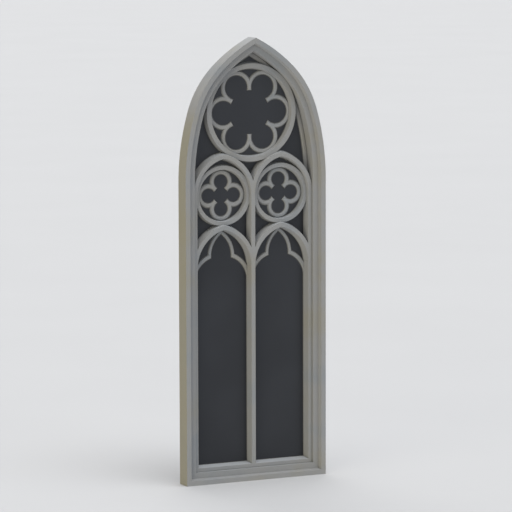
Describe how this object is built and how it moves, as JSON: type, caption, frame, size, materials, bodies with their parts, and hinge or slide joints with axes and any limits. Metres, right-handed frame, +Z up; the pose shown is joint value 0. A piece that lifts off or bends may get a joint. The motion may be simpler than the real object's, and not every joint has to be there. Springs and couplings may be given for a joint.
{
  "type": "traceried window frame",
  "caption": "Pointed-arch stone window frame with a central mullion, cusped lancet lights, foiled rings and fixed glass between the bars.",
  "frame": {"origin": "middle of the sill's flat bed face, at mid depth of the frame", "axes": "+Z up to the apex, +X to the right seen from the front, +Y from the front into the wall"},
  "size_m": [1.5, 0.168, 4.3154],
  "materials": {
    "stone": "fine-rubbed grey limestone",
    "glass": "dark, nearly opaque"
  },
  "bodies": {
    "root": {"sill": "stone", "left_jamb": "stone", "right_jamb": "stone", "left_arch": "stone", "right_arch": "stone", "mullion": "stone", "left_lancet_jamb_arc": "stone", "left_lancet_mullion_arc": "stone", "right_lancet_jamb_arc": "stone", "right_lancet_mullion_arc": "stone", "left_subarch_jamb_arc": "stone", "left_subarch_mullion_arc": "stone", "right_subarch_jamb_arc": "stone", "right_subarch_mullion_arc": "stone", "left_roundel_stone_1": "stone", "left_roundel_stone_2": "stone", "left_roundel_stone_3": "stone", "left_roundel_stone_4": "stone", "right_roundel_stone_1": "stone", "right_roundel_stone_2": "stone", "right_roundel_stone_3": "stone", "right_roundel_stone_4": "stone", "oculus_stone_1": "stone", "oculus_stone_2": "stone", "oculus_stone_3": "stone", "oculus_stone_4": "stone", "oculus_stone_5": "stone", "oculus_stone_6": "stone", "left_lancet_foil_jamb_half": "stone", "left_lancet_foil_mullion_half": "stone", "right_lancet_foil_jamb_half": "stone", "right_lancet_foil_mullion_half": "stone", "left_light_glass": "glass", "right_light_glass": "glass", "left_roundel_glass": "glass", "right_roundel_glass": "glass", "oculus_glass": "glass", "spandrel_glass": "glass"}
  },
  "joints": []
}
